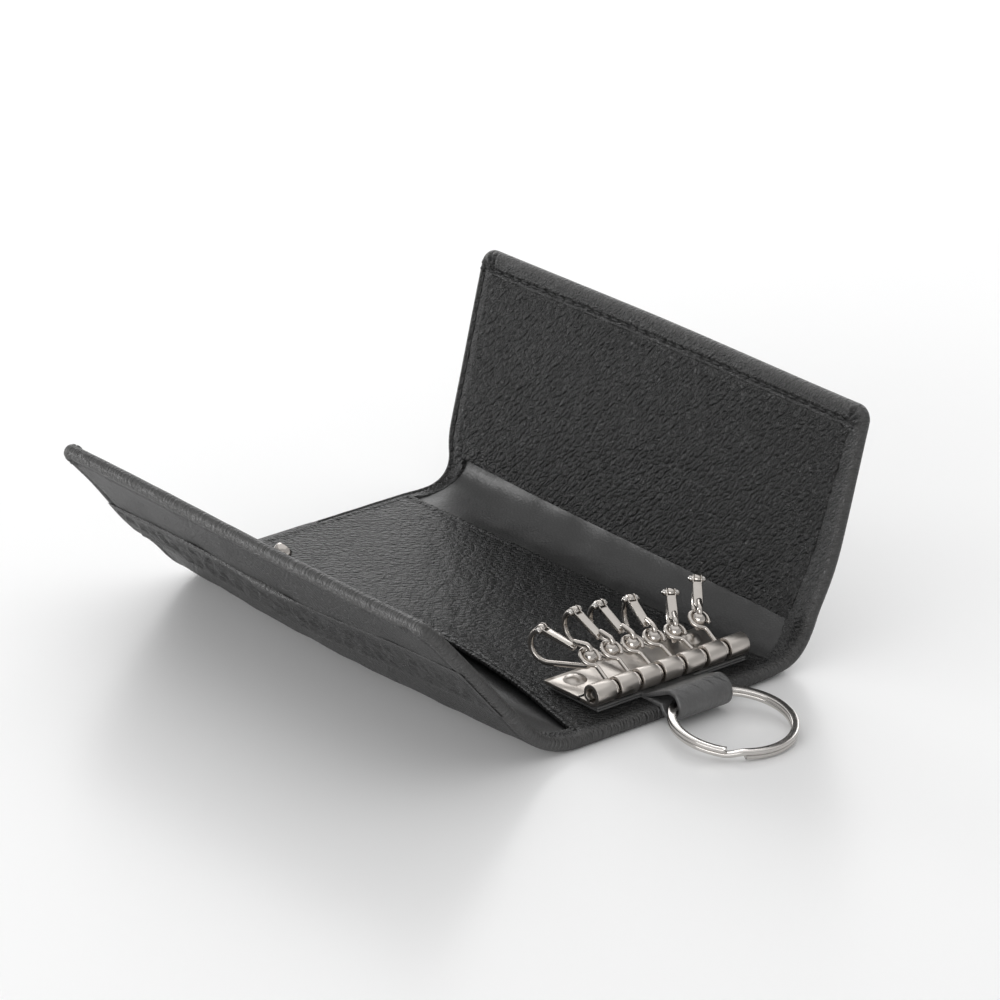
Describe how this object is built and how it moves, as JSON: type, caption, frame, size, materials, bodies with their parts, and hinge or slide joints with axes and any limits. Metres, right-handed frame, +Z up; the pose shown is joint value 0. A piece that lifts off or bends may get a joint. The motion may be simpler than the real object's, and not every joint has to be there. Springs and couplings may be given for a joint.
{
  "type": "key case",
  "caption": "Open three-fold leather key case with a rail of swinging wire key hooks, a pocket, a snap and a split ring on a leather loop.",
  "frame": {"origin": "on the resting face, under the middle of the middle section", "axes": "X along the folds towards the ring end, Y across the case towards the back flap, Z up"},
  "size_m": [0.1349, 0.1096, 0.0498],
  "materials": {
    "black_leather": "satin",
    "lining_leather": "satin",
    "bonded_board": "matte",
    "satin_nickel": "satin",
    "hook_nickel": "polished",
    "polished_steel": "polished"
  },
  "bodies": {
    "case": {"centre_cover": "black_leather", "centre_board": "bonded_board", "centre_lining": "lining_leather", "pocket_panel": "black_leather", "rail_pad": "black_leather", "rail_plate": "satin_nickel", "rail_rod": "polished_steel", "rail_rivets": "satin_nickel", "rivet_washers": "satin_nickel"},
    "back_fold": {"back_fold": "black_leather"},
    "back_flap": {"back_cover": "black_leather", "back_board": "bonded_board", "back_panel": "black_leather", "snap_socket": "satin_nickel", "snap_socket_washer": "satin_nickel"},
    "front_fold": {"front_fold": "black_leather"},
    "front_flap": {"front_cover": "black_leather", "front_board": "bonded_board", "front_panel": "lining_leather", "slip_pocket": "black_leather", "snap_stud": "satin_nickel", "snap_stud_washer": "satin_nickel"},
    "ring": {"split_ring": "polished_steel"},
    "bail_1": {"hook_1_bail": "hook_nickel"},
    "loop_1": {"hook_1_ball": "hook_nickel", "hook_1_loop": "hook_nickel"},
    "gate_1": {"hook_1_gate": "polished_steel", "hook_1_gate_pin": "polished_steel"},
    "bail_2": {"hook_2_bail": "hook_nickel"},
    "loop_2": {"hook_2_ball": "hook_nickel", "hook_2_loop": "hook_nickel"},
    "gate_2": {"hook_2_gate": "polished_steel", "hook_2_gate_pin": "polished_steel"},
    "bail_3": {"hook_3_bail": "hook_nickel"},
    "loop_3": {"hook_3_ball": "hook_nickel", "hook_3_loop": "hook_nickel"},
    "gate_3": {"hook_3_gate": "polished_steel", "hook_3_gate_pin": "polished_steel"},
    "bail_4": {"hook_4_bail": "hook_nickel"},
    "loop_4": {"hook_4_ball": "hook_nickel", "hook_4_loop": "hook_nickel"},
    "gate_4": {"hook_4_gate": "polished_steel", "hook_4_gate_pin": "polished_steel"},
    "bail_5": {"hook_5_bail": "hook_nickel"},
    "loop_5": {"hook_5_ball": "hook_nickel", "hook_5_loop": "hook_nickel"},
    "gate_5": {"hook_5_gate": "polished_steel", "hook_5_gate_pin": "polished_steel"},
    "bail_6": {"hook_6_bail": "hook_nickel"},
    "loop_6": {"hook_6_ball": "hook_nickel", "hook_6_loop": "hook_nickel"},
    "gate_6": {"hook_6_gate": "polished_steel", "hook_6_gate_pin": "polished_steel"}
  },
  "joints": [
    {"name": "back_fold_bend", "type": "hinge", "parent": "case", "child": "back_fold", "pos_m": [0, 0.0236, 0.0015], "axis": [-1, 0, 0], "range_deg": [-52.5, 13]},
    {"name": "back_flap_bend", "type": "hinge", "parent": "back_fold", "child": "back_flap", "pos_m": [0, 0.0356, 0.01209], "axis": [-1, 0, 0], "range_deg": [-52.5, 13]},
    {"name": "front_fold_bend", "type": "hinge", "parent": "case", "child": "front_fold", "pos_m": [0, -0.0236, 0.0015], "axis": [1, 0, 0], "range_deg": [-66, 11]},
    {"name": "front_flap_bend", "type": "hinge", "parent": "front_fold", "child": "front_flap", "pos_m": [0, -0.04161, 0.01179], "axis": [1, 0, 0], "range_deg": [-66, 11]},
    {"name": "ring_swing", "type": "hinge", "parent": "case", "child": "ring", "pos_m": [0.0576, 0.0005, 0.004], "axis": [0, 1, 0], "range_deg": [-88, 0]},
    {"name": "bail_1_tilt", "type": "hinge", "parent": "case", "child": "bail_1", "pos_m": [0.0484, -0.01185, 0.0061], "axis": [0, 1, 0], "range_deg": [-6, 116]},
    {"name": "loop_1_swing", "type": "hinge", "parent": "bail_1", "child": "loop_1", "pos_m": [0.04203, -0.01185, 0.01024], "axis": [-0.0698, 0, -0.9976], "range_deg": [-20, 20]},
    {"name": "gate_1_hinge", "type": "hinge", "parent": "loop_1", "child": "gate_1", "pos_m": [0.03306, -0.01595, 0.01405], "axis": [-0.4057, 0.9135, 0.0284], "range_deg": [0, 22], "stiffness_Nm_per_rad": 0.0001, "springref_deg": -17.19},
    {"name": "bail_2_tilt", "type": "hinge", "parent": "case", "child": "bail_2", "pos_m": [0.0484, -0.00643, 0.0061], "axis": [0, 1, 0], "range_deg": [-11, 118]},
    {"name": "loop_2_swing", "type": "hinge", "parent": "bail_2", "child": "loop_2", "pos_m": [0.04192, -0.00643, 0.01007], "axis": [-0.1908, 0, -0.9816], "range_deg": [-4, 15]},
    {"name": "gate_2_hinge", "type": "hinge", "parent": "loop_2", "child": "gate_2", "pos_m": [0.03269, -0.00748, 0.0151], "axis": [-0.1026, 0.9945, 0.0199], "range_deg": [0, 22], "stiffness_Nm_per_rad": 0.0001, "springref_deg": -17.19},
    {"name": "bail_3_tilt", "type": "hinge", "parent": "case", "child": "bail_3", "pos_m": [0.0484, -0.00101, 0.0061], "axis": [0, 1, 0], "range_deg": [-8, 122]},
    {"name": "loop_3_swing", "type": "hinge", "parent": "bail_3", "child": "loop_3", "pos_m": [0.04163, -0.00101, 0.00955], "axis": [-0.1736, 0, -0.9848], "range_deg": [-4, 18]},
    {"name": "gate_3_hinge", "type": "hinge", "parent": "loop_3", "child": "gate_3", "pos_m": [0.03225, -0.00101, 0.01442], "axis": [0, 1, 0], "range_deg": [0, 22], "stiffness_Nm_per_rad": 0.0001, "springref_deg": -17.19},
    {"name": "bail_4_tilt", "type": "hinge", "parent": "case", "child": "bail_4", "pos_m": [0.0484, 0.00441, 0.0061], "axis": [0, 1, 0], "range_deg": [-5, 124]},
    {"name": "loop_4_swing", "type": "hinge", "parent": "bail_4", "child": "loop_4", "pos_m": [0.04151, 0.00441, 0.00931], "axis": [-0.0872, 0, -0.9962], "range_deg": [-8, 16]},
    {"name": "gate_4_hinge", "type": "hinge", "parent": "loop_4", "child": "gate_4", "pos_m": [0.03205, 0.00685, 0.01332], "axis": [0.241, 0.9703, -0.0211], "range_deg": [0, 22], "stiffness_Nm_per_rad": 0.0001, "springref_deg": -17.19},
    {"name": "bail_5_tilt", "type": "hinge", "parent": "case", "child": "bail_5", "pos_m": [0.0484, 0.00983, 0.0061], "axis": [0, 1, 0], "range_deg": [-2, 126]},
    {"name": "loop_5_swing", "type": "hinge", "parent": "bail_5", "child": "loop_5", "pos_m": [0.04135, 0.00983, 0.00895], "axis": [-0.0523, 0, -0.9986], "range_deg": [-20, 3]},
    {"name": "gate_5_hinge", "type": "hinge", "parent": "loop_5", "child": "gate_5", "pos_m": [0.03338, 0.01575, 0.01254], "axis": [0.587, 0.809, -0.0308], "range_deg": [0, 22], "stiffness_Nm_per_rad": 0.0001, "springref_deg": -17.19},
    {"name": "bail_6_tilt", "type": "hinge", "parent": "case", "child": "bail_6", "pos_m": [0.0484, 0.01525, 0.0061], "axis": [0, 1, 0], "range_deg": [-8, 116]},
    {"name": "loop_6_swing", "type": "hinge", "parent": "bail_6", "child": "loop_6", "pos_m": [0.04195, 0.01525, 0.01013], "axis": [-0.1045, 0, -0.9945], "range_deg": [-16, 22]},
    {"name": "gate_6_hinge", "type": "hinge", "parent": "loop_6", "child": "gate_6", "pos_m": [0.03439, 0.02146, 0.01411], "axis": [0.6123, 0.788, -0.0644], "range_deg": [0, 22], "stiffness_Nm_per_rad": 0.0001, "springref_deg": -17.19}
  ],
  "couplings": [
    {"joint": "back_flap_bend", "follows": "back_fold_bend", "ratio": 1},
    {"joint": "front_flap_bend", "follows": "front_fold_bend", "ratio": 1}
  ]
}
